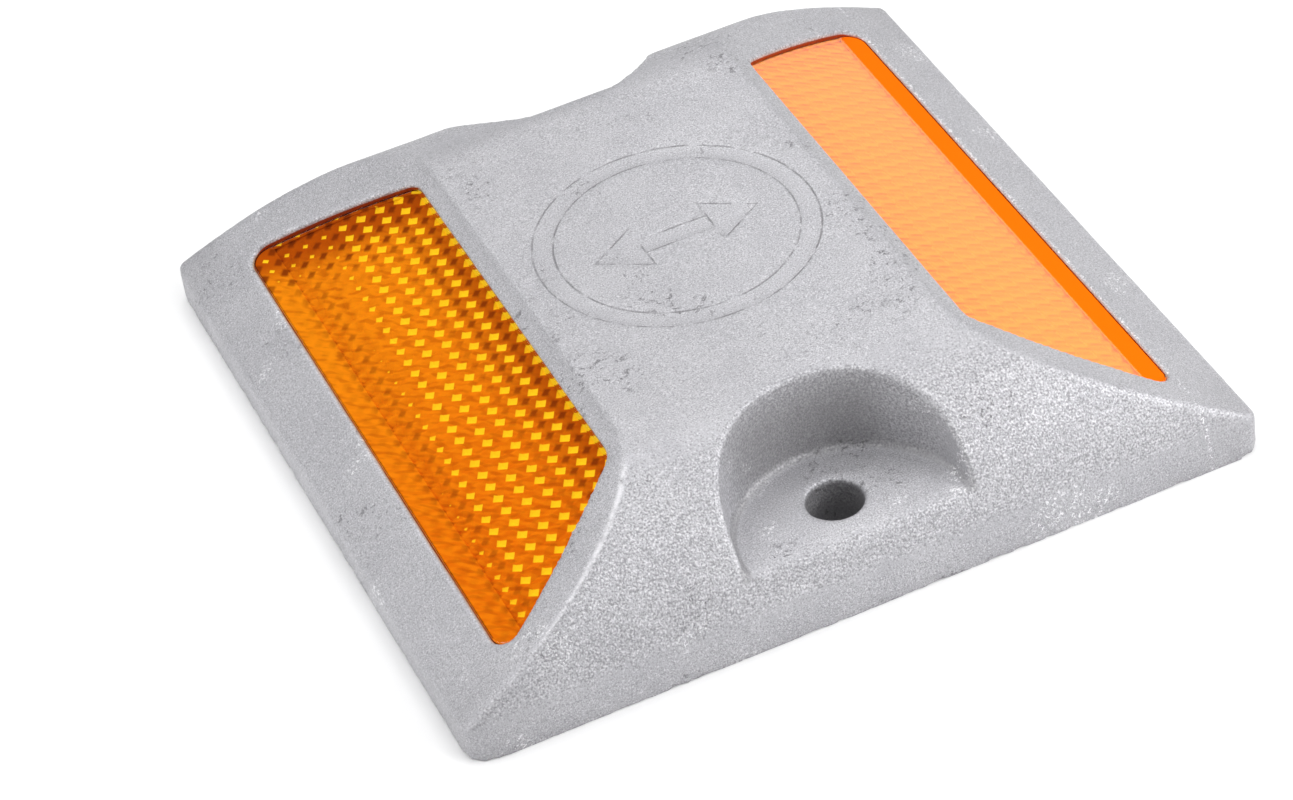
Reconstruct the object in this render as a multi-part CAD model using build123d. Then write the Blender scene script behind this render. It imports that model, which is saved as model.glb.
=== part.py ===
from build123d import *
import os
from math import cos, radians, sin, sqrt, tan

# A raised pavement marker: a die-cast aluminium housing whose two slopes, facing +X and -X,
# each hold a sealed amber reflector. Half-moon pockets in its round front and back sides give
# room for the heads of two fixings. +Z is up, Z = 0 is the road, all lengths are in millimetres.

# Housing, outside
BASE = 100.0                # length and width at the road
HEIGHT = 20.5               # road to the flat top
RIM_HEIGHT = 4.5            # upright edge below each lens slope
SLOPE_ANGLE = 28.3          # degrees between a lens slope and the road
FLANK_RADIUS = 22.4         # round of the front and back sides, tangent to the top
PLAN_CORNER_RADIUS = 3.0    # upright corners
HIP_RADIUS = 1.3            # where a lens slope meets the top and the round sides
RIM_EDGE_RADIUS = 1.2       # where a lens slope meets its upright edge

# Fixing pockets and holes
POCKET_FLOOR = 9.0          # height of the seat under a fixing's head
POCKET_RADIUS = 14.1        # half-moon at its floor
POCKET_TOP_RADIUS = 14.8    # the same at the flat top's height, wider by the draft
POCKET_CENTRE_Y = 46.1
HOLE_RADIUS = 3.4
HOLE_CENTRE_Y = 40.4

# Lens opening, seen from above; each end bows out like the round side of the housing. Half lengths
# are to the front end.
OPENING_UPPER_X = 22.6
OPENING_LOWER_X = 42.7
OPENING_UPPER_HALF = 30.9   # half length of the upper edge
OPENING_LOWER_HALF = 43.7   # half length of the lower edge
OPENING_BACK_SHORT = 2.5    # how much sooner it ends at the back than at the front
OPENING_BOW = 0.8           # how far an end bows out from a straight line
OPENING_UPPER_CORNER = 2.8
OPENING_LOWER_CORNER = 2.2

# Lens unit, measured at right angles to the slope, from the outside in
LENS_RECESS = 0.8
LENS_THICKNESS = 4.0
BACKING_THICKNESS = 1.3
BOND_THICKNESS = 0.5
LENS_GAP = 0.1              # round the lens, on every side
BACKING_INSET = 0.5
CELL_DEPTH = 2.3            # air cell behind the lens face, where the prisms are
LENS_LIP = 1.3              # solid edge of the lens round that cell
LENS_LOWER_LIP = 3.4        # the same along the lower edge

# Shallow cast marking on the flat top: a ring round a two-way arrow
RING_RADIUS = 17.3
RING_WIDTH = 2.5
ARROW_LENGTH = 21.0
ARROW_HEAD_LENGTH = 6.0
ARROW_HEAD_WIDTH = 8.0
ARROW_SHAFT_WIDTH = 2.6
MARKING_DEPTH = 0.15

# Hollow underside, which takes up the road adhesive
WALL = 3.4                  # housing left above and beside the hollows
RIB = 3.0                   # ribs along both centre lines
MIDDLE_HOLLOW_X = 16.0
MIDDLE_HOLLOW_Y = 27.0
SIDE_HOLLOW_X = 34.0
SIDE_HOLLOW_Y = 33.0
HOLLOW_CORNER_RADIUS = 2.0

HALF = BASE / 2
SLOPE = radians(SLOPE_ANGLE)
DEPTHS = {"lens": LENS_RECESS, "backing": LENS_RECESS + LENS_THICKNESS}
DEPTHS["bond"] = DEPTHS["backing"] + BACKING_THICKNESS
LENS_POCKET_DEPTH = DEPTHS["bond"] + BOND_THICKNESS
CLEAR = 20.0                # how far a cutter reaches past the surface it opens


def slope_height(x):
    """Height of the right lens slope at a distance x from the middle."""
    return RIM_HEIGHT + (HALF - x) * tan(SLOPE)


def slope_plane(depth):
    """Plane at a depth below the right lens slope: local X runs down the slope, local Z outwards."""
    x = (OPENING_UPPER_X + OPENING_LOWER_X) / 2
    down, out = Vector(cos(SLOPE), 0, -sin(SLOPE)), Vector(sin(SLOPE), 0, cos(SLOPE))
    return Plane(origin=Vector(x, 0, slope_height(x)) - out * depth, x_dir=down, z_dir=out)


def slope_profile(rim_radius):
    """Housing seen from the front: upright edges, two lens slopes and the flat top."""
    crest = HALF - (HEIGHT - RIM_HEIGHT) / tan(SLOPE)
    right = [(HALF, 0), (HALF, RIM_HEIGHT), (crest, HEIGHT)]
    left = [(-x, z) for x, z in reversed(right)]
    face = make_face(Polyline(*right, *left, close=True))
    if rim_radius:
        rims = [v for v in face.vertices() if abs(v.Y - RIM_HEIGHT) < 0.01]
        face = fillet(rims, rim_radius)
    return Plane.XZ * face


def flank_profile():
    """Housing seen from a lens: one large round on each side of the flat top."""
    centre_z = HEIGHT - FLANK_RADIUS
    centre_y = HALF - sqrt(FLANK_RADIUS**2 - centre_z**2)
    half_turn = radians(45)
    middle_y = centre_y + FLANK_RADIUS * cos(half_turn)
    middle_z = centre_z + FLANK_RADIUS * sin(half_turn)
    top = Line((centre_y, HEIGHT), (-centre_y, HEIGHT))
    rounds = [ThreePointArc((s * HALF, 0), (s * middle_y, middle_z), (s * centre_y, HEIGHT)) for s in (1, -1)]
    return Plane.YZ * make_face([rounds[0], top, rounds[1], Line((-HALF, 0), (HALF, 0))])


def outer_shape():
    """The housing's outside, before anything is cut."""
    body = extrude(slope_profile(0), HALF, both=True) & extrude(flank_profile(), HALF, both=True)
    crest_inside = HALF - (HEIGHT - RIM_HEIGHT) / tan(SLOPE) - 1
    hips = [e for e in body.edges() if abs((e @ 0.5).X) > crest_inside and (e @ 0.5).Z > RIM_HEIGHT + 0.1]
    body = Part() + body.fillet(HIP_RADIUS, hips)
    body &= extrude(slope_profile(RIM_EDGE_RADIUS), HALF, both=True)
    return body & extrude(RectangleRounded(BASE, BASE, PLAN_CORNER_RADIUS), HEIGHT)


def lens_outline(inset, lower_inset=None):
    """Lens opening on the slope, made smaller all round, and more along its lower edge if asked."""
    middle = (OPENING_UPPER_X + OPENING_LOWER_X) / 2
    upper, lower = ((x - middle) / cos(SLOPE) for x in (OPENING_UPPER_X, OPENING_LOWER_X))
    half_middle = (OPENING_UPPER_HALF + OPENING_LOWER_HALF) / 2 + OPENING_BOW
    front = [(upper, -OPENING_UPPER_HALF), (0, -half_middle), (lower, -OPENING_LOWER_HALF)]
    back = [(x, -y - OPENING_BACK_SHORT) for x, y in front]
    sides = [Line(front[i], back[i]) for i in (0, 2)]
    face = make_face([ThreePointArc(*front), ThreePointArc(*back)] + sides)
    face = fillet([v for v in face.vertices() if v.X < 0], OPENING_UPPER_CORNER)
    face = fillet([v for v in face.vertices() if v.X > lower - 0.01], OPENING_LOWER_CORNER)
    if inset:
        face = offset(face, -inset)
    if lower_inset:
        keep = Pos((lower - lower_inset) - BASE / 2, 0) * Rectangle(BASE, BASE)
        face = fillet((face & keep).vertices().sort_by(Axis.X)[-2:], OPENING_LOWER_CORNER)
    return face


def slab(outline, depth, thickness):
    """A plate with a lens outline, its outer face at a depth below the right slope."""
    return extrude(slope_plane(depth + thickness) * outline, thickness)


def lens():
    """Amber cap: a clear face with a solid lip, which closes round the air cell of the prisms."""
    cap = slab(lens_outline(LENS_GAP), DEPTHS["lens"], LENS_THICKNESS)
    cell = slab(lens_outline(LENS_LIP, LENS_LOWER_LIP), DEPTHS["backing"] - CELL_DEPTH, CELL_DEPTH)
    return cap - cell


def backing():
    """Plate welded to the lens's lip, which seals the air cell."""
    return slab(lens_outline(BACKING_INSET), DEPTHS["backing"], BACKING_THICKNESS)


def bond():
    """Bed of cured adhesive between the backing and the housing."""
    return slab(lens_outline(LENS_GAP), DEPTHS["bond"], BOND_THICKNESS)


def lens_pocket():
    """Cutter for the seat of the right lens unit."""
    return slab(lens_outline(0), -CLEAR, CLEAR + LENS_POCKET_DEPTH)


def fixing_pocket():
    """Cutter for the front half-moon pocket, with its draft, and for the hole in its floor."""
    depth = HEIGHT - POCKET_FLOOR
    half_moon = Pos(0, -POCKET_CENTRE_Y, POCKET_FLOOR + depth / 2) * Cone(POCKET_RADIUS, POCKET_TOP_RADIUS, depth)
    return half_moon + Pos(0, -HOLE_CENTRE_Y, HEIGHT / 2) * Cylinder(HOLE_RADIUS, HEIGHT)


def marking():
    """Cutter for the marking on the flat top."""
    ring = Circle(RING_RADIUS) - Circle(RING_RADIUS - RING_WIDTH)
    tip, neck = ARROW_LENGTH / 2, ARROW_LENGTH / 2 - ARROW_HEAD_LENGTH
    quarter = [(tip, 0), (neck, ARROW_HEAD_WIDTH / 2), (neck, ARROW_SHAFT_WIDTH / 2)]
    upper = quarter + [(-x, y) for x, y in reversed(quarter)]
    lower = [(x, -y) for x, y in reversed(upper) if y]
    arrow = make_face(Polyline(*upper, *lower, close=True))
    return extrude(Pos(0, 0, HEIGHT - MARKING_DEPTH) * (ring + arrow), MARKING_DEPTH)


def middle_hollow():
    """Cutter under one quarter of the flat top."""
    length, width = MIDDLE_HOLLOW_X - RIB / 2, MIDDLE_HOLLOW_Y - RIB / 2
    outline = RectangleRounded(length, width, HOLLOW_CORNER_RADIUS)
    return extrude(Pos(RIB / 2 + length / 2, RIB / 2 + width / 2) * outline, HEIGHT - WALL)


def side_hollow():
    """Cutter under one end of the right lens seat: a wedge that keeps the wall's thickness."""
    inner, outer = MIDDLE_HOLLOW_X + WALL, SIDE_HOLLOW_X
    drop = (LENS_POCKET_DEPTH + WALL) / cos(SLOPE)
    roof = [(x, slope_height(x) - drop) for x in (outer, inner)]
    wedge = Plane.XZ * make_face(Polyline((inner, 0), (outer, 0), *roof, close=True))
    wedge = extrude(wedge, -SIDE_HOLLOW_Y)
    length, width = outer - inner, SIDE_HOLLOW_Y - RIB / 2
    outline = Pos(inner + length / 2, RIB / 2 + width / 2) * RectangleRounded(length, width, HOLLOW_CORNER_RADIUS)
    return wedge & extrude(outline, HEIGHT)


def housing():
    """The casting, with its lens seats, fixing pockets, marking and hollow underside."""
    body = outer_shape() - marking()
    pocket, seat = fixing_pocket(), lens_pocket()
    body -= [pocket, mirror(pocket, about=Plane.XZ), seat, mirror(seat, about=Plane.YZ)]
    for hollow in (middle_hollow(), side_hollow()):
        pair = [hollow, mirror(hollow, about=Plane.XZ)]
        body -= pair + [mirror(one, about=Plane.YZ) for one in pair]
    return body


def main():
    os.makedirs("parts", exist_ok=True)
    export_step(housing(), "parts/housing.step")
    for name, piece in (("lens", lens()), ("backing", backing()), ("bond", bond())):
        export_step(piece, f"parts/right_{name}.step")
        export_step(mirror(piece, about=Plane.YZ), f"parts/left_{name}.step")


main()
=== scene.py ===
import math

import bmesh
import bpy
import numpy as np
from mathutils import Matrix, Vector, noise


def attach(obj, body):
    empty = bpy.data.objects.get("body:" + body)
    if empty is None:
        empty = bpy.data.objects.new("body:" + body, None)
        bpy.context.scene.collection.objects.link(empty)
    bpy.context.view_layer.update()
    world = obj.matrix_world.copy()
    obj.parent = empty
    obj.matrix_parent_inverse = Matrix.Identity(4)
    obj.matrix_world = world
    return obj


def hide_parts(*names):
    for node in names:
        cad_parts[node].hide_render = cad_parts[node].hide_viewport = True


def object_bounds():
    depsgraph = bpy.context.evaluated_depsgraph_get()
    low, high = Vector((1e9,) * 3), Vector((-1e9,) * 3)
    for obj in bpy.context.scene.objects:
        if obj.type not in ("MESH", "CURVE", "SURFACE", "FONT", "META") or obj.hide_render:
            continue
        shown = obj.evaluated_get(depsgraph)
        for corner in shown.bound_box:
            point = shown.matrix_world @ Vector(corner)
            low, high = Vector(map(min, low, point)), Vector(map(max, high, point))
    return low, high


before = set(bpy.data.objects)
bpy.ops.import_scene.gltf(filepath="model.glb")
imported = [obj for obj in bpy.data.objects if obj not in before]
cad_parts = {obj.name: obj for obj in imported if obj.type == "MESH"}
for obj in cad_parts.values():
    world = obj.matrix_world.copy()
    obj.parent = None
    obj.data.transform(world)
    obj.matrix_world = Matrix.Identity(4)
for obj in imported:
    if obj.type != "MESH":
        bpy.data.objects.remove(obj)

# A raised pavement marker: an aluminium casting with a sealed amber prism reflector in each of its
# two slopes. Everything is placed in the part's own frame: +Z up, Z = 0 the road. Metres, with
# lengths named in millimetres where that reads better.
MM = 0.001
CAD_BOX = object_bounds()
SIDES = {"left": -1, "right": 1}

# Lens slopes of the housing
SLOPE = math.radians(28.3)
SLOPE_MIDDLE = (32.65, 13.84)   # x and z of a point on the slope, halfway down the lens
HALF_BASE = 50.0                # half the length and width at the road

# Cast skin of the housing
VOXEL = 0.40 * MM
SOFTENING = 3
SKIN_FACES = 190_000
SOFT_ZONES = (                  # widest x and nearest y, lowest and highest z, rounds of smoothing
    ((15.5, 30.5), (7.5, 30.0), 5),     # fixing pockets
    ((12.8, 44.5), (6.0, 10.5), 25),    # outer tips of the pockets
    ((18.3, -1.0), (20.0, 21.0), 5))    # marking on the flat top
WAVES = ((0.05, 9.0, 2, 3.0), (0.015, 1.6, 2, 7.0))     # depth, size, octaves and seed
WAVE_DEPTH = 0.03
NICK_DEPTH, NICK_HEIGHT = 0.35, 1.1     # nicks along the road, and how high they reach
NICK_NOISE = (2.4, 3, 11.0)             # size, octaves and seed
FLASH_DEPTH, FLASH_HEIGHT = 1.2, 0.9    # bits of flash, and half the height of the strip they are in
FLASH_NOISE = (1.2, 2, 17.0)

# Where things are on the housing
TOP_HEIGHT = 20.5
FLANK_RADIUS = 22.4
POCKET_CENTRE, POCKET_RADIUS = 46.1, 14.1
POCKET_FLOOR = 9.0
HOLE_CENTRE, HOLE_RADIUS = 40.4, 3.4
RING_EDGES = (14.8, 17.3)
ARROW = (10.5, 4.5, 4.0, 1.3)   # tip, neck, half width of the heads and of the shaft
ARROW_LEAN = 0.83               # cosine of the angle between a head's sides and the shaft
SEAT_HALF_LENGTH = 39.6         # half length of a lens seat at its middle, to the front end
SEAT_TAPER = 0.637              # how much longer it gets for each millimetre outwards
SEAT_HALF_WIDTH = 10.15
SEAT_LOWER_EDGE = 42.7

# Looks of the casting
FINE_GRAIN, COARSE_GRAIN = 0.18, 0.25
CAST_DULL, CAST_FRESH = (0.455, 0.452, 0.478), (0.49, 0.487, 0.512)
GRAIN_DARK, GRAIN_BRIGHT = (0.32, 0.315, 0.33), (0.68, 0.672, 0.695)
# Painted highlight along the crests between the lens slopes and the round sides
CREST_HIGHLIGHT, SCUFFS_AND_HIGHLIGHT = (0.85, 0.845, 0.87), (0.92, 0.915, 0.93)
# Painted shade low down at the corners and on the flat top
# Painted shade on the walls of the fixing pockets
POCKET_SHADE, PAINTED_SHADE = (0.24, 0.235, 0.24), (0.28, 0.275, 0.285)
# Painted shade along the edges of the marking
# Painted shade inside the fixing holes
DIRT, BORE_SHADE, MARKING_SHADE = (0.13, 0.125, 0.13), (0.14, 0.135, 0.14), (0.16, 0.155, 0.16)
# Painted reflection of the amber lens, in shade, on the seat walls
SEAT_REFLECTION = (0.32, 0.045, 0.005)
CREST_HIGHLIGHT_TOWARDS = (-0.8, -0.6, 0)   # towards the corner whose edges get the brightest painted highlight

# Amber lens: a clear block, whose lower edge is slightly ramped, over a staggered lattice of canted
# cube corners
LENS_EDGE = 0.22                # rounding of its edges
LENS_RAMP_WIDTH = 3.3
LENS_RAMP_RISE = 0.6
LENS_RAMP_CUTS = (-0.06, 0, 0.06, 0.12)     # cuts that round the ramp's foot, in ramp widths from it
CELL_PITCH = 2.38               # along Y
ROW_PITCH = 2.58                # down the slope
PRISM_TOP = 0.45                # from the lens face down to the prisms' rims
PRISM_DEPTH = 0.8
PRISM_CANT = 0.35               # how far each apex leans up the slope
PRISM_LIP = 0.12
PRISM_LOWER_LIP = 3.2
PRISM_RIM = 0.45                # flat rim round the other sides of the lattice
SEAM = 0.03                     # clear distance between stacked pieces

# Painted glints in the prisms, on the slope in millimetres: where the first one is, the two directions
# that their edges follow, and their half sizes
GLINT_AT = (2.084, 0.992)
GLINT_ACROSS = (-0.738, -0.403)
GLINT_UP = (-0.668, 0.548)
GLINT_HALF = (0.60, 0.37)
# Painted shade in a small dark cell beside each glint: where it is from the glint, and its half size
SHADE_FROM_GLINT = (-1.29, -1.62)
SHADE_HALF = (0.42, 0.46)
GLINT_SKEW = -0.22

# Looks of the lenses and of what is round them
CLEAR_AMBER = (1.0, 0.86, 0.5, 1)
PRISM_FRONT, PRISM_BACK = (0.74, 0.185, 0.005), (0.80, 0.28, 0.01)  # left lens, at either end
PRISM_RIGHT = (1.0, 0.31, 0.01)
# Colours of painted shade in the prisms
PRISM_DEEP_SHADE, PRISM_SHADE = (0.44, 0.085, 0.003), (0.20, 0.035, 0.003)
# Colour of the painted glints, and of the prisms' stripes
PRISM_GLINT, PRISM_STRIPE = (1.0, 0.74, 0.035), (1.0, 0.38, 0.012)
PRISM_BAND = (1.0, 0.215, 0.003)
RIGHT_PATTERN = 0.18            # how strongly the painted glints show on the right, 1 being the left
BACKING_TONES = ((0.80, 0.34, 0.03), (0.90, 0.42, 0.05))
ADHESIVE_TONES = ((0.22, 0.21, 0.2), (0.36, 0.35, 0.33))
FLOOR_TONES = ((0.96, 0.96, 0.96), (0.97, 0.97, 0.97))

# Softboxes: name, azimuth and elevation in degrees, distance and size in metres, watts
LIGHTS = (
    ("top_light", 180, 82, 1.0, (1.2, 1.2), 4.95),
    ("high_back_light", 168, 52, 1.0, (0.6, 0.6), 3.3),
    ("high_front_light", 20, 52, 1.0, (0.5, 0.5), 0.9),
    ("right_light", 95, 35, 1.0, (0.9, 0.5), 1.3),
    ("left_light", -100, 40, 1.0, (0.9, 0.4), 3.55),
    ("near_right_light", 50, 30, 0.45, (0.3, 0.2), 1.3),
    ("front_light", 10, 25, 1.0, (0.6, 0.4), 0.75),
    ("low_left_light", -85, 14, 0.8, (0.6, 0.2), 1.7),
    ("back_card", 137.9, 8.5, 0.7, (0.42, 0.15), 0.2))
SKY, SKY_STRENGTH = (0.9, 0.94, 1.0, 1), 0.03

# Camera, as azimuth and elevation from the point it aims at, in degrees
CAMERA_AZIMUTH, CAMERA_ELEVATION, CAMERA_ROLL = -17.892, 39.636, -9.448
CAMERA_LENS = 119.826
CAMERA_DISTANCE = 515.845 * MM
CAMERA_AIM = Vector((-8.540, -4.507, 1.655)) * MM


# ---------------------------------------------------------------- mesh helpers

def link(name, mesh):
    """A new object in the scene."""
    ob = bpy.data.objects.new(name, mesh)
    bpy.context.scene.collection.objects.link(ob)
    return ob


def smooth(mesh):
    """Smooth shading all over."""
    mesh.polygons.foreach_set("use_smooth", [True] * len(mesh.polygons))


def baked(ob):
    """Replaces an object's mesh by what its modifiers make of it."""
    bpy.context.view_layer.update()
    graph = bpy.context.evaluated_depsgraph_get()
    mesh = bpy.data.meshes.new_from_object(ob.evaluated_get(graph))
    ob.modifiers.clear()
    ob.data = mesh
    return ob


def read(values, name, count):
    """Three numbers for each of a mesh's elements, as an array."""
    made = np.empty(count * 3, np.float32)
    values.foreach_get(name, made)
    return made.reshape(-1, 3).astype(float)


def fractal(points, size, octaves, seed):
    """Fractal noise at points in metres, with features of a size in millimetres, about -1 to 1."""
    shift, scale = Vector((seed, seed * 1.7, seed * 2.3)), 1 / (size * MM)
    return np.array([noise.fractal(Vector(p) * scale + shift, 1.0, 2.0, octaves) for p in points])


# ---------------------------------------------------------------- housing

def housing_piece():
    """The casting: the CAD solid with softened edges and the slightly uneven skin of a casting."""
    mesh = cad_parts["housing"].data.copy()
    mesh.materials.clear()
    work = bmesh.new()
    work.from_mesh(mesh)
    bmesh.ops.remove_doubles(work, verts=work.verts, dist=1e-6)
    work.to_mesh(mesh)
    work.free()
    ob = link("housing_casting", mesh)
    remesh = ob.modifiers.new("skin", "REMESH")
    remesh.mode = "VOXEL"
    remesh.voxel_size = VOXEL
    soften = ob.modifiers.new("soften", "SMOOTH")
    soften.factor = 0.5
    soften.iterations = SOFTENING
    baked(ob)
    soften_zones(ob)
    roughen(ob.data)
    thin = ob.modifiers.new("thin", "DECIMATE")
    thin.ratio = min(1.0, SKIN_FACES / (2 * len(ob.data.polygons)))
    baked(ob)
    keep_inside(ob.data)
    smooth(ob.data)
    return ob


def soften_zones(ob):
    """Rounds the lips and inner corners of the fixing pockets further, and settles the marking."""
    co = np.abs(read(ob.data.vertices, "co", len(ob.data.vertices)) / MM)
    for index, ((wide, near), (low, high), rounds) in enumerate(SOFT_ZONES):
        inside = (co[:, 0] < wide) & (co[:, 1] > near) & (co[:, 2] > low) & (co[:, 2] < high)
        group = ob.vertex_groups.new(name=f"zone_{index}")
        group.add([int(i) for i in np.flatnonzero(inside)], 1.0, "REPLACE")
        soften = ob.modifiers.new(group.name, "SMOOTH")
        soften.factor = 0.5
        soften.iterations = rounds
        soften.vertex_group = group.name
    baked(ob)


def roughen(mesh):
    """Low casting waves, and nicks and flash along the lower edges. Waves only go inwards."""
    count = len(mesh.vertices)
    co, out = read(mesh.vertices, "co", count), read(mesh.vertex_normals, "vector", count)
    height = co[:, 2] / MM
    waves = sum(depth * fractal(co, size, octaves, seed) for depth, size, octaves, seed in WAVES)
    depth = np.minimum(waves - WAVE_DEPTH, 0)
    low = np.clip(1 - np.abs(height) / NICK_HEIGHT, 0, 1)
    nicks = low * np.clip(fractal(co, *NICK_NOISE) - 0.1, 0, 0.5)
    strip = np.clip(1 - np.abs(height - FLASH_HEIGHT) / FLASH_HEIGHT, 0, 1)
    flash = strip * np.clip(fractal(co, *FLASH_NOISE) - 0.42, 0, 0.5)
    at_side = np.abs(co[:, :2]).max(axis=1) > (HALF_BASE - 0.9) * MM
    depth += np.where(at_side, flash * FLASH_DEPTH - nicks * NICK_DEPTH, 0)
    co += out * (depth * MM)[:, None]
    mesh.vertices.foreach_set("co", co.astype(np.float32).ravel())
    mesh.update()


def keep_inside(mesh):
    """Moves what sticks out of the CAD's box back to its sides."""
    co = read(mesh.vertices, "co", len(mesh.vertices))
    low, high = (np.array(corner) for corner in CAD_BOX)
    mesh.vertices.foreach_set("co", np.clip(co, low, high).astype(np.float32).ravel())
    mesh.update()


# ---------------------------------------------------------------- lens units

def slope_axes(side):
    """Directions down a lens slope and out of it, and the point halfway down the lens."""
    down = Vector((side * math.cos(SLOPE), 0, -math.sin(SLOPE)))
    out = Vector((side * math.sin(SLOPE), 0, math.cos(SLOPE)))
    return down, out, Vector((side * SLOPE_MIDDLE[0], 0, SLOPE_MIDDLE[1])) * MM


def slope_frame(side):
    """Frame on a lens slope: X down the slope, Y along +Y, Z out of the slope."""
    down, out, origin = slope_axes(side)
    turn = Matrix((down, Vector((0, 1, 0)), out)).transposed().to_4x4()
    return Matrix.Translation(origin) @ turn


def on_slope(node, side):
    """A CAD node's vertices in the slope's frame, in millimetres."""
    back = slope_frame(side).inverted()
    return np.array([back @ v.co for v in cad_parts[node].data.vertices]) / MM


def convex_loop(points):
    """Points on a convex outline, once each, in order round it."""
    unique = np.unique(np.round(points, 3), axis=0)
    middle = unique.mean(axis=0)
    turn = np.arctan2(*(unique - middle).T[::-1])
    return unique[np.argsort(turn)]


def inset(loop, distance):
    """A convex outline, moved inwards."""
    edges = np.roll(loop, -1, axis=0) - loop
    edges /= np.linalg.norm(edges, axis=1)[:, None]
    after = np.stack([-edges[:, 1], edges[:, 0]], axis=1)
    mitre = after + np.roll(after, 1, axis=0)
    mitre /= np.linalg.norm(mitre, axis=1)[:, None]
    return loop + mitre * (distance / np.sum(mitre * after, axis=1))[:, None]


def prism(loop, bottom, top):
    """A closed upright block over an outline, as a new bmesh."""
    work = bmesh.new()
    low = [work.verts.new((x, y, bottom)) for x, y in loop]
    high = [work.verts.new((x, y, top)) for x, y in loop]
    work.faces.new(low[::-1])
    work.faces.new(high)
    for i in range(len(loop)):
        j = (i + 1) % len(loop)
        work.faces.new((low[i], low[j], high[j], high[i]))
    return work


def ring(outer, inner, bottom, top):
    """A closed upright ring between two outlines, as a new bmesh."""
    work = bmesh.new()
    corners = ((outer, bottom), (outer, top), (inner, top), (inner, bottom))
    loops = [[work.verts.new((x, y, z)) for x, y in outline] for outline, z in corners]
    for loop, after in zip(loops, loops[1:] + loops[:1]):
        for i in range(len(loop)):
            j = (i + 1) % len(loop)
            work.faces.new((loop[i], loop[j], after[j], after[i]))
    return work


def placed(name, work, side):
    """A bmesh in the slope's frame and in millimetres, as an object in the part's frame."""
    bmesh.ops.scale(work, vec=(MM,) * 3, verts=work.verts)
    bmesh.ops.transform(work, matrix=slope_frame(side), verts=work.verts)
    bmesh.ops.recalc_face_normals(work, faces=work.faces)
    mesh = bpy.data.meshes.new(name)
    work.to_mesh(mesh)
    work.free()
    return link(name, mesh)


def ramp_rise(from_lower_edge):
    """How far the lens face rises along its lower edge."""
    share = 1 + from_lower_edge / LENS_RAMP_WIDTH
    return LENS_RAMP_RISE * (share + math.hypot(share, 0.05)) / 2


def lens_piece(name, side):
    """The clear amber block, with rounded edges and its ramp along the lower edge."""
    points = on_slope(f"{name}_lens", side)
    top, bottom = points[:, 2].max(), points[:, 2].min()
    loop = convex_loop(points[points[:, 2] > top - 0.01][:, :2])
    work = prism(loop, bottom + SEAM, top)
    lower = loop[:, 0].max()
    for share in LENS_RAMP_CUTS:
        cut = work.verts[:] + work.edges[:] + work.faces[:]
        at = (lower - LENS_RAMP_WIDTH * (1 - share), 0, 0)
        bmesh.ops.bisect_plane(work, geom=cut, plane_co=at, plane_no=(1, 0, 0))
    for v in work.verts:
        if v.co.z > top - 0.01:
            v.co.z += ramp_rise(v.co.x - lower)
    ob = placed(f"{name}_lens_block", work, side)
    bevel = ob.modifiers.new("edges", "BEVEL")
    bevel.width = LENS_EDGE * MM
    bevel.segments = 3
    bevel.angle_limit = math.radians(50)
    weigh = ob.modifiers.new("flat", "WEIGHTED_NORMAL")
    weigh.weight = 90
    smooth(ob.data)
    baked(ob)
    return ob


def cell_corners(row, column):
    """Centre of a prism and the six corners of its outline, alternately mid-height and high."""
    reach_x, reach_y = ROW_PITCH / 1.5, CELL_PITCH / math.sqrt(3)
    x, y = row * ROW_PITCH, (column + row % 2 / 2) * CELL_PITCH
    outline = []
    for k in range(6):
        turn = math.radians(60 * k)
        outline.append((x + reach_x * math.cos(turn), y + reach_y * math.sin(turn), k % 2))
    return (x, y), outline


def prism_sheet(top, bottom, reach_x, reach_y):
    """The lattice of cube corners over a rectangle, closed below by a flat bottom."""
    work, shared = bmesh.new(), {}

    def corner(x, y, z):
        key = (round(x, 3), round(y, 3), z == bottom)
        if key not in shared:
            shared[key] = work.verts.new((x, y, z))
        return shared[key]

    for row in range(-int(reach_x / ROW_PITCH) - 1, int(reach_x / ROW_PITCH) + 2):
        for column in range(-int(reach_y / CELL_PITCH) - 1, int(reach_y / CELL_PITCH) + 2):
            (x, y), outline = cell_corners(row, column)
            apex = corner(x - PRISM_CANT, y, top - PRISM_DEPTH)
            rim = [corner(rx, ry, top - PRISM_DEPTH * (0 if high else 0.5)) for rx, ry, high in outline]
            floor = [corner(rx, ry, bottom) for rx, ry, _ in outline]
            work.faces.new(floor[::-1])
            for k in (1, 3, 5):
                work.faces.new((apex, rim[k - 1], rim[k]))
                work.faces.new((apex, rim[k], rim[(k + 1) % 6]))
    open_edges = [e for e in work.edges if e.is_boundary]
    bmesh.ops.bridge_loops(work, edges=open_edges)
    return work


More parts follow.
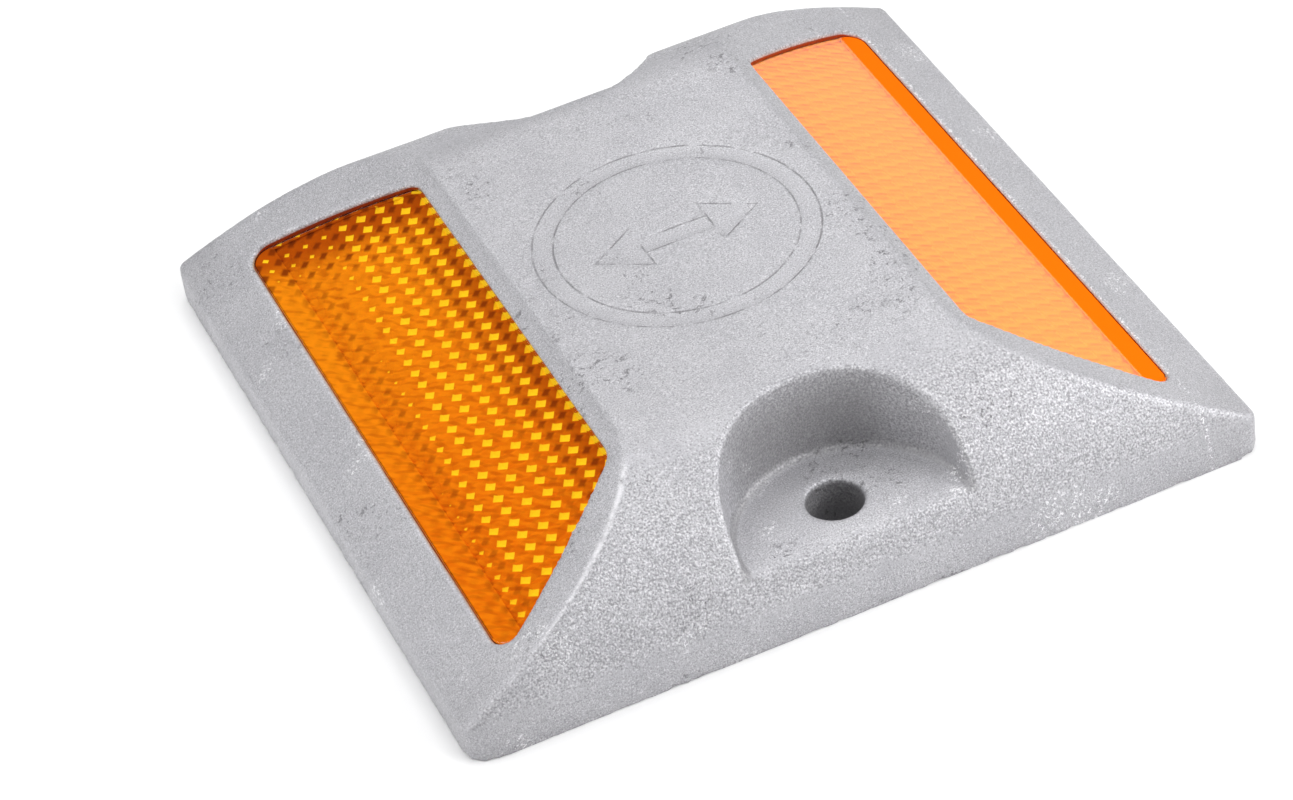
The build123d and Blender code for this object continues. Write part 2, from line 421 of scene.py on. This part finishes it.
def prisms_piece(name, side):
    """The prisms' faces inside a flat rim, and a flat band under the ramp."""
    points = on_slope(f"{name}_lens", side)
    top, bottom = points[:, 2].max(), points[:, 2].min()
    loop = convex_loop(points[points[:, 2] > top - 0.01][:, :2])
    lower = loop[:, 0].max() - PRISM_LOWER_LIP
    reach = np.abs(loop).max(axis=0) + 3
    work = prism_sheet(top - PRISM_TOP, bottom + 2 * SEAM, *reach)
    loop = inset(loop, PRISM_LIP)
    sheet_loop = inset(loop, PRISM_RIM - SEAM)
    for a, b in zip(sheet_loop, np.roll(sheet_loop, -1, axis=0)):
        along = b - a
        cut_away(work, a, (along[1], -along[0]))
    cut_away(work, (lower, 0), (1, 0))
    rim = ring(loop, inset(loop, PRISM_RIM), bottom + 2 * SEAM, top - PRISM_TOP)
    cut_away(rim, (lower, 0), (1, 0))
    band = prism(loop, bottom + 2 * SEAM, top - PRISM_TOP)
    cut_away(band, (lower, 0), (-1, 0))
    for v in band.verts:
        if v.co.z > bottom + 1:
            v.co.z += ramp_rise(v.co.x - loop[:, 0].max())
    for part in (rim, band):
        mesh = bpy.data.meshes.new("part")
        part.to_mesh(mesh)
        part.free()
        work.from_mesh(mesh)
    return placed(f"{name}_lens_prisms", work, side)


def cut_away(work, point, direction):
    """Cuts off what lies beyond a point in a direction, and closes the cut."""
    geometry = work.verts[:] + work.edges[:] + work.faces[:]
    made = bmesh.ops.bisect_plane(work, geom=geometry, plane_co=(*point, 0), plane_no=(*direction, 0),
                                  clear_outer=True, dist=1e-5)
    edges = [g for g in made["geom_cut"] if isinstance(g, bmesh.types.BMEdge)]
    if edges:
        bmesh.ops.holes_fill(work, edges=edges)


# ---------------------------------------------------------------- materials

class Look:
    """A node material under construction, with short calls for the nodes it is made of."""

    def __init__(self, name):
        self.material = bpy.data.materials.new(name)
        self.material.use_nodes = True
        self.tree = self.material.node_tree
        self.tree.nodes.clear()
        self.output = self.tree.nodes.new("ShaderNodeOutputMaterial")
        self.place = self.node("TexCoord").outputs["Object"]

    def node(self, kind, inputs=None, **settings):
        made = self.tree.nodes.new("ShaderNode" + kind)
        for key, value in settings.items():
            setattr(made, key, value)
        for key, value in (inputs or {}).items():
            self.put(made.inputs[key], value)
        return made

    def put(self, socket, value):
        if isinstance(value, bpy.types.NodeSocket):
            self.tree.links.new(value, socket)
        elif value is not None:
            socket.default_value = value

    def math(self, operation, a, b=None, c=None):
        made = self.node("Math", operation=operation)
        for socket, value in zip(made.inputs, (a, b, c)):
            self.put(socket, value)
        return made.outputs[0]

    def times(self, *values):
        product = values[0]
        for value in values[1:]:
            product = self.math("MULTIPLY", product, value)
        return product

    def minus(self, a, b):
        return self.math("SUBTRACT", a, b)

    def larger(self, a, b):
        return self.math("MAXIMUM", a, b)

    def size(self, value):
        return self.math("ABSOLUTE", value)

    def line(self, x, slope, start):
        """A slope times x, from a start."""
        return self.math("MULTIPLY_ADD", x, slope, start)

    def length(self, a, b):
        """Length of the diagonal over two distances."""
        squares = [self.math("POWER", value, 2.0) for value in (a, b)]
        return self.math("SQRT", self.math("ADD", *squares))

    def dot(self, a, b):
        return self.node("VectorMath", {0: a, 1: b}, operation="DOT_PRODUCT").outputs["Value"]

    def along(self, direction, origin=(0, 0, 0)):
        """Distance in millimetres from an origin along a direction."""
        moved = self.node("VectorMath", {0: self.place, 1: tuple(origin)}, operation="SUBTRACT")
        return self.dot(moved.outputs[0], tuple(Vector(direction) / MM))

    def ramp(self, value, low, high):
        """0 at low and before it, 1 at high and past it, with a smooth rise between."""
        inputs = {"Value": value, "From Min": low, "From Max": high}
        return self.node("MapRange", inputs, interpolation_type="SMOOTHSTEP").outputs["Result"]

    def bump_of(self, height, depth, normal=None):
        """Surface normal for a height of 0 to 1, as deep as a depth in millimetres."""
        made = self.node("Bump", {"Height": height, "Distance": depth * MM, "Normal": normal})
        return made.outputs["Normal"]

    def noise(self, size, detail=2.0, roughness=0.5, distortion=0.0, vector=None):
        """Noise with features of a size in millimetres, about 0 to 1."""
        inputs = {"Vector": vector or self.place, "Scale": 1 / (size * MM), "Detail": detail,
                  "Roughness": roughness, "Distortion": distortion}
        return self.node("TexNoise", inputs).outputs["Fac"]

    def mix(self, share, a, b):
        """Colour between a and b."""
        made = self.node("Mix", data_type="RGBA")
        self.put(made.inputs[0], share)
        for socket, value in zip((made.inputs[6], made.inputs[7]), (a, b)):
            self.put(socket, (*value, 1) if isinstance(value, tuple) else value)
        return made.outputs[2]

    def principled(self, **inputs):
        named = {key.replace("_", " "): value for key, value in inputs.items()}
        return self.node("BsdfPrincipled", named)

    def done(self, shader):
        self.put(self.output.inputs["Surface"], shader)
        return self.material


def aluminium():
    """Shot-blasted cast aluminium: sparkling grain, coarser on the round sides, pits and dirt."""
    look = Look("cast_aluminium")
    x, y, z = (look.size(look.along(axis)) for axis in ((1, 0, 0), (0, 1, 0), (0, 0, 1)))
    facing_y = look.size(look.dot(look.node("TexCoord").outputs["Normal"], (0, 1, 0)))
    rounds = look.times(look.ramp(facing_y, 0.08, 0.5), look.ramp(z, 3.0, 6.0))
    fine, coarse = look.noise(FINE_GRAIN, 2.0, 0.6), look.noise(COARSE_GRAIN, 1.0, 0.5)
    grain = look.line(rounds, look.minus(coarse, fine), fine)
    dirt, marks = cast_dirt(look, x, z), marking_lines(look, x, y, z)
    layers = (
        (look.ramp(grain, 0.50, 0.34), GRAIN_DARK),
        (look.ramp(grain, 0.53, 0.70), GRAIN_BRIGHT),
        # painted highlight along the crests
        (crest_highlight(look, x, y, z), CREST_HIGHLIGHT),
        # painted shade on the pocket walls
        (pocket_wall_shade(look, x, y, z), POCKET_SHADE),
        # painted shade low down and on the flat top
        (look.larger(near_road(look, x, y, z), flat_top(look, z)), PAINTED_SHADE),
        # bright scuffs, and a painted highlight along the right lens's lower edge
        (look.times(scuffs_and_lip_highlight(look, z), 0.8), SCUFFS_AND_HIGHLIGHT),
        (look.times(dirt, 0.6), DIRT),
        # painted shade along the marking's edges
        (look.times(marks, 0.6), MARKING_SHADE),
        # painted shade inside the fixing holes
        (look.times(hole_bore_shade(look, x, y, z), 0.6), BORE_SHADE),
        # painted reflection of the lens, in shade, on the seat walls
        (seat_wall_reflection(look, x, y, z), SEAT_REFLECTION))
    colour = look.mix(look.ramp(look.noise(7.0, 3.0), 0.35, 0.65), CAST_DULL, CAST_FRESH)
    for share, tone in layers:
        colour = look.mix(share, colour, tone)
    normal = look.bump_of(fine, 0.06)
    normal = look.bump_of(look.times(coarse, rounds), 0.05, normal)
    normal = look.bump_of(look.minus(1.0, look.larger(dirt, marks)), 0.07, normal)
    rough = look.line(grain, -0.3, 0.68)
    shader = look.principled(Base_Color=colour, Roughness=rough, Normal=normal, Metallic=0.4)
    return look.done(shader.outputs[0])


def under_slope(look, x, z):
    """Depth in millimetres below the plane of the lens slope on the same side."""
    sideways = look.times(look.minus(x, SLOPE_MIDDLE[0]), math.sin(SLOPE))
    return look.times(look.line(look.minus(z, SLOPE_MIDDLE[1]), math.cos(SLOPE), sideways), -1.0)


def under_flank(look, y, z):
    """Depth in millimetres below the round front or back side."""
    centre_z = TOP_HEIGHT - FLANK_RADIUS
    centre_y = HALF_BASE - math.sqrt(FLANK_RADIUS**2 - centre_z**2)
    off_centre = look.length(look.minus(y, centre_y), look.minus(z, centre_z))
    return look.minus(FLANK_RADIUS, off_centre)


def crest_highlight(look, x, y, z):
    """Above 0 along the edges between the lens slopes and the round sides, where a highlight is
    painted.
    """
    deeper = look.larger(under_slope(look, x, z), under_flank(look, y, z))
    edge = look.times(look.ramp(deeper, 0.42, 0.16), look.ramp(z, 4.0, 7.0), look.ramp(y, 31.0, 36.0))
    patchy = look.ramp(look.noise(1.4, 2.0), 0.25, 0.6)
    return look.times(edge, patchy, look.ramp(look.along(CREST_HIGHLIGHT_TOWARDS), 0, 30), 0.65)


def seat_wall_reflection(look, x, y, z):
    """1 on the walls of the lens seats, where the lens's amber is painted on as a reflection in shade.
    """
    off_middle = look.minus(x, SLOPE_MIDDLE[0])
    depth = under_slope(look, x, z)
    past_end = look.minus(y, look.line(off_middle, SEAT_TAPER, SEAT_HALF_LENGTH))
    sunk = look.times(look.ramp(depth, 0.46, 0.60), look.ramp(depth, 7.4, 7.2))
    across = look.ramp(look.size(off_middle), SEAT_HALF_WIDTH + 0.15, SEAT_HALF_WIDTH)
    return look.times(sunk, across, look.ramp(past_end, 0.5, 0.2))


def pocket_wall_shade(look, x, y, z):
    """Above 0 on the upright walls of the fixing pockets, most at their inner ends: painted shade."""
    off = look.length(x, look.minus(y, POCKET_CENTRE))
    inside = look.ramp(off, POCKET_RADIUS + 1.0, POCKET_RADIUS + 0.3)
    inside = look.times(inside, look.ramp(y, 30.0, 31.0))
    inner_end = look.times(look.ramp(y, 38.5, 32.5), 0.68)
    right = look.times(look.ramp(look.along((1, 0, 0)), 2.0, 12.0), 0.28)
    above_floor = look.ramp(z, POCKET_FLOOR + 0.05, POCKET_FLOOR + 0.5)
    wall = look.times(look.larger(inner_end, right), above_floor)
    foot = look.ramp(off, POCKET_RADIUS - 0.8, POCKET_RADIUS - 0.45)
    foot = look.times(foot, look.ramp(z, POCKET_FLOOR + 1.4, POCKET_FLOOR + 0.6))
    foot = look.times(foot, look.ramp(z, POCKET_FLOOR - 0.6, POCKET_FLOOR - 0.3), 0.5)
    return look.times(inside, look.larger(wall, foot))


def near_road(look, x, y, z):
    """Above 0 low down, most at the corners, where painted shade makes the casting a little darker."""
    corner = look.ramp(look.math("ADD", x, y), 2 * HALF_BASE - 18, 2 * HALF_BASE - 3)
    low = look.line(corner, 0.22, look.times(look.ramp(z, 4.5, 1.0), 0.08))
    return look.times(low, look.ramp(z, 9.0, 6.0))


def flat_top(look, z):
    """Above 0 on the flat top, where painted shade makes it a little darker, most on its left."""
    left = look.ramp(look.along((-1, 0, 0)), -14.0, 14.0)
    return look.times(look.ramp(z, TOP_HEIGHT - 0.9, TOP_HEIGHT - 0.3), look.line(left, 0.16, 0.02))


def cast_dirt(look, x, z):
    """Sparse dark pits, in patches, mostly along the sides of the flat top and by the road."""
    spots = look.ramp(look.noise(0.8, 3.0, 0.7, 0.4), 0.57, 0.67)
    top_side = look.times(look.ramp(x, 13.0, 17.0), look.ramp(x, 24.0, 22.0), 0.08)
    by_road = look.times(look.ramp(z, 1.6, 0.6), 0.12)
    patches = look.math("ADD", look.larger(top_side, by_road), look.noise(11.0, 2.0))
    return look.times(spots, look.ramp(patches, 0.55, 0.68))


def scuffs_and_lip_highlight(look, z):
    """Small bright nicks, in patches on the slopes, and along the right lens's lower edge, where they
    also stand for a painted highlight.
    """
    nicks = look.ramp(look.noise(0.45, 2.0, 0.6, 1.0), 0.56, 0.64)
    patches = look.times(look.ramp(look.noise(8.0, 2.0), 0.58, 0.68), look.ramp(z, 18.0, 15.0))
    right = look.along((1, 0, 0))
    # painted highlight along the right lens's lower edge
    lip_highlight = look.times(look.ramp(right, SEAT_LOWER_EDGE - 0.1, SEAT_LOWER_EDGE + 0.1),
                     look.ramp(right, SEAT_LOWER_EDGE + 0.7, SEAT_LOWER_EDGE + 0.4))
    return look.times(nicks, look.larger(patches, lip_highlight))


def hole_bore_shade(look, x, y, z):
    """1 inside the two fixing holes, where shade is painted, and 0 elsewhere."""
    off = look.length(x, look.minus(y, HOLE_CENTRE))
    inside = look.ramp(off, HOLE_RADIUS + 0.4, HOLE_RADIUS + 0.2)
    return look.times(inside, look.ramp(z, POCKET_FLOOR - 0.2, POCKET_FLOOR - 1))


def marking_lines(look, x, y, z):
    """1 along the edges of the cast ring and arrow on the flat top, where shade is painted, and 0
    elsewhere.
    """
    radius = look.length(x, y)
    edges = [look.minus(radius, edge) for edge in RING_EDGES]
    tip, neck, head, shaft = ARROW
    slant = head / (tip - neck)
    past_side = look.math("ADD", y, look.line(x, slant, -tip * slant))
    in_head = look.larger(look.times(past_side, ARROW_LEAN), look.minus(neck, x))
    in_shaft = look.larger(look.minus(y, shaft), look.minus(x, neck))
    edges.append(look.math("MINIMUM", in_head, in_shaft))
    lines = 0.0
    for edge in edges:
        lines = look.larger(lines, look.ramp(look.size(edge), 0.16, 0.03))
    worn = look.ramp(look.noise(2.6, 2.0), 0.34, 0.6)
    return look.times(lines, worn, look.ramp(z, TOP_HEIGHT - 1.5, TOP_HEIGHT - 0.7))


def amber_block():
    """Clear amber plastic with a polished face, which lets soft light straight through."""
    look = Look("amber_acrylic")
    rough = look.line(look.ramp(look.noise(3.5, 3.0, 0.6), 0.45, 0.8), 0.05, 0.015)
    glass = look.principled(Base_Color=CLEAR_AMBER, Roughness=rough)
    glass.inputs["Transmission Weight"].default_value = 1.0
    glass.inputs["IOR"].default_value = 1.49
    clear = look.node("BsdfTransparent", {"Color": CLEAR_AMBER})
    path = look.node("LightPath")
    straight = look.larger(path.outputs["Is Shadow Ray"], path.outputs["Is Diffuse Ray"])
    both = look.node("MixShader", {0: straight, 1: glass.outputs[0], 2: clear.outputs[0]})
    return look.done(both.outputs[0])


def cell_offset(look, x, y, at):
    """Millimetres down the slope and along it from the nearest point of a staggered lattice."""
    row = look.math("DIVIDE", look.minus(x, at[0]), ROW_PITCH)
    whole_row = look.math("ROUND", row)
    stagger = look.times(look.math("FLOORED_MODULO", whole_row, 2.0), 0.5)
    column = look.minus(look.math("DIVIDE", look.minus(y, at[1]), CELL_PITCH), stagger)
    whole_column = look.math("ROUND", column)
    return (look.times(look.minus(row, whole_row), ROW_PITCH),
            look.times(look.minus(column, whole_column), CELL_PITCH))


def slanted(look, x, y):
    """The same place measured along the two directions that the glints' edges follow."""
    return tuple(look.line(x, a, look.times(y, b)) for a, b in (GLINT_ACROSS, GLINT_UP))


def patch(look, place, half, soft, size=1.0):
    """1 inside a small slanted rectangle in each prism, and 0 outside."""
    across, up = slanted(look, *place)
    across = look.line(up, GLINT_SKEW, across)
    off = [look.minus(look.size(value), look.times(size, limit))
           for value, limit in zip((across, up), half)]
    return look.times(*(look.ramp(value, soft, -soft) for value in off))


def prism_streaks(look, x, y, shift):
    """Noise in short streaks that lie along the glints' longer edges."""
    across, up = slanted(look, x, y)
    at = {0: look.math("DIVIDE", across, 1.6), 1: look.math("DIVIDE", up, 0.5), 2: shift}
    return look.noise(1 / MM, 0.0, 0.5, vector=look.node("CombineXYZ", at).outputs[0])


def dark_cells(look, x, y):
    """Above 0 in a small cell of painted shade beside each glint, most near the upper edge and the back
    end.
    """
    at = tuple(a + b for a, b in zip(GLINT_AT, SHADE_FROM_GLINT))
    cells = patch(look, cell_offset(look, x, y, at), SHADE_HALF, 0.2)
    upper, back = look.ramp(x, -1.0, -9.0), look.ramp(look.line(x, -0.6, y), 20.5, 29.0)
    lowest_row = look.times(look.ramp(look.size(look.minus(x, 7.0)), 2.4, 1.0), 0.55)
    return look.times(cells, look.larger(look.larger(upper, back), lowest_row))


def prism_colour(look, x, y, main, pattern):
    """Streaks, painted shade along the upper and back edges, and a painted glint in each prism, as
    strong as a pattern share.
    """
    back = look.ramp(look.line(x, -0.56, y), 26.5, 32.0)
    upper = look.times(look.ramp(x, -4.0, -11.0), 0.7)
    lit = look.larger(look.ramp(look.line(y, 0.095, x), 6.0, 1.2), look.times(back, 0.3))
    glint = cell_offset(look, x, y, GLINT_AT)
    unlit = look.times(patch(look, glint, SHADE_HALF, 0.25), look.ramp(lit, 0.3, 0.0))
    layers = (
        (look.ramp(prism_streaks(look, x, y, 5.0), 0.5, 0.3), 0.4, PRISM_DEEP_SHADE),
        # painted shade along the upper and back edges
        (look.larger(upper, back), 0.95, PRISM_DEEP_SHADE),
        (unlit, 0.13, PRISM_SHADE),
        # painted shade in a dark cell beside each glint
        (dark_cells(look, x, y), 0.9, PRISM_SHADE),
        # painted glint in each prism
        (patch(look, glint, GLINT_HALF, 0.07, look.math("SQRT", lit)), 1.0, PRISM_GLINT))
    lighter = look.mix(0.3, main, PRISM_STRIPE)
    colour = look.mix(look.ramp(prism_streaks(look, x, y, 0.0), 0.35, 0.65), main, lighter)
    for share, most, tone in layers:
        colour = look.mix(look.times(share, most * pattern), colour, tone)
    return colour


def amber_prisms(side):
    """Colours of the prisms: orange with painted yellow glints and painted shade on the left, striped
    and paler on the right.

    They are painted light that comes back through the prisms, and stay as they are from any side.
    """
    look = Look("amber_prisms_" + ("left" if side < 0 else "right"))
    down, _, origin = slope_axes(side)
    x, y = look.along(down, origin), look.along((0, 1, 0))
    if side < 0:
        main = look.mix(look.ramp(y, -32.0, 26.0), PRISM_FRONT, PRISM_BACK)
        colour = prism_colour(look, x, y, main, 1.0)
    else:
        stripes = look.math("SINE", look.times(y, 4 * math.pi / CELL_PITCH))
        colour = prism_colour(look, x, y, PRISM_RIGHT, RIGHT_PATTERN)
        colour = look.mix(look.ramp(stripes, -1.0, 1.0), colour, PRISM_STRIPE)
        colour = look.mix(look.ramp(x, 8.0, 8.6), colour, PRISM_BAND)
    shader = look.principled(Base_Color=colour, Roughness=0.5)
    shader.inputs["Specular IOR Level"].default_value = 0.0
    return look.done(shader.outputs[0])


def backing_plastic():
    """Moulded backing plate, faintly mottled."""
    look = Look("backing_plastic")
    colour = look.mix(look.noise(4.0, 3.0), *BACKING_TONES)
    normal = look.bump_of(look.noise(0.5, 2.0), 0.03)
    shader = look.principled(Base_Color=colour, Roughness=0.5, Normal=normal)
    return look.done(shader.outputs[0])


def cured_adhesive():
    """Grey cured adhesive with small bubbles."""
    look = Look("cured_adhesive")
    colour = look.mix(look.noise(1.5, 4.0), *ADHESIVE_TONES)
    normal = look.bump_of(look.noise(0.8, 3.0), 0.1)
    shader = look.principled(Base_Color=colour, Roughness=0.6, Normal=normal)
    return look.done(shader.outputs[0])


# ---------------------------------------------------------------- studio

def studio_floor():
    """Large pale floor, just below the road face."""
    work = bmesh.new()
    bmesh.ops.create_grid(work, x_segments=8, y_segments=8, size=1.5)
    bmesh.ops.translate(work, verts=work.verts, vec=(0, 0, -0.02 * MM))
    mesh = bpy.data.meshes.new("studio_floor")
    work.to_mesh(mesh)
    work.free()
    ob = link("studio_floor", mesh)
    look = Look("pale_floor")
    colour = look.mix(look.noise(60.0, 2.0), *FLOOR_TONES)
    ob.data.materials.append(look.done(look.principled(Base_Color=colour, Roughness=0.9).outputs[0]))


def direction(azimuth, elevation):
    """Unit vector towards a place round the part: azimuth 0 is the front, and 90 the right."""
    a, e = math.radians(azimuth), math.radians(elevation)
    return Vector((math.sin(a) * math.cos(e), -math.cos(a) * math.cos(e), math.sin(e)))


def softbox(name, azimuth, elevation, distance, size, power):
    """An area light that faces the part from a direction, seen only as light and in reflections."""
    light = bpy.data.lights.new(name, "AREA")
    light.shape = "RECTANGLE"
    light.size, light.size_y = size
    light.energy = power
    towards = direction(azimuth, elevation)
    ob = bpy.data.objects.new(name, light)
    bpy.context.scene.collection.objects.link(ob)
    ob.location = towards * distance
    ob.rotation_mode = "QUATERNION"
    ob.rotation_quaternion = towards.to_track_quat("Z", "Y")
    ob.visible_camera = False


def studio_light():
    """Soft light from above and both sides, and a white card low behind the right lens."""
    world = bpy.data.worlds.new("studio")
    world.use_nodes = True
    world.node_tree.nodes["Background"].inputs[0].default_value = SKY
    world.node_tree.nodes["Background"].inputs[1].default_value = SKY_STRENGTH
    bpy.context.scene.world = world
    for light in LIGHTS:
        softbox(*light)


def camera():
    """The camera, rolled about its own axis."""
    back = direction(CAMERA_AZIMUTH, CAMERA_ELEVATION)
    right = (-back).cross(Vector((0, 0, 1))).normalized()
    up = right.cross(-back)
    turn = Matrix((right, up, back)).transposed() @ Matrix.Rotation(math.radians(CAMERA_ROLL), 3, "Z")
    data = bpy.data.cameras.new("camera")
    data.sensor_width = 36
    data.lens = CAMERA_LENS
    ob = bpy.data.objects.new("camera", data)
    bpy.context.scene.collection.objects.link(ob)
    ob.matrix_world = Matrix.Translation(CAMERA_AIM + back * CAMERA_DISTANCE) @ turn.to_4x4()
    bpy.context.scene.camera = ob


# ---------------------------------------------------------------- the part

def finish_piece(ob, material, slot, *nodes):
    """Gives a piece its material and body, and hides the CAD nodes it stands for."""
    ob.data.materials.clear()
    ob.data.materials.append(material)
    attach(ob, "root")
    if nodes:
        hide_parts(*nodes)


def dress_cad_nodes():
    """Materials for the CAD nodes that stay."""
    for end, material in (("backing", backing_plastic()), ("bond", cured_adhesive())):
        for name in SIDES:
            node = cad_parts[f"{name}_{end}"]
            node.data.materials.clear()
            node.data.materials.append(material)


def build():
    finish_piece(housing_piece(), aluminium(), "cast_aluminium", "housing")
    block = amber_block()
    for name, side in SIDES.items():
        finish_piece(lens_piece(name, side), block, "amber_acrylic", f"{name}_lens")
        finish_piece(prisms_piece(name, side), amber_prisms(side), "amber_acrylic")
    dress_cad_nodes()
    studio_floor()
    studio_light()
    camera()
    bpy.context.scene.view_settings.view_transform = "Standard"


build()
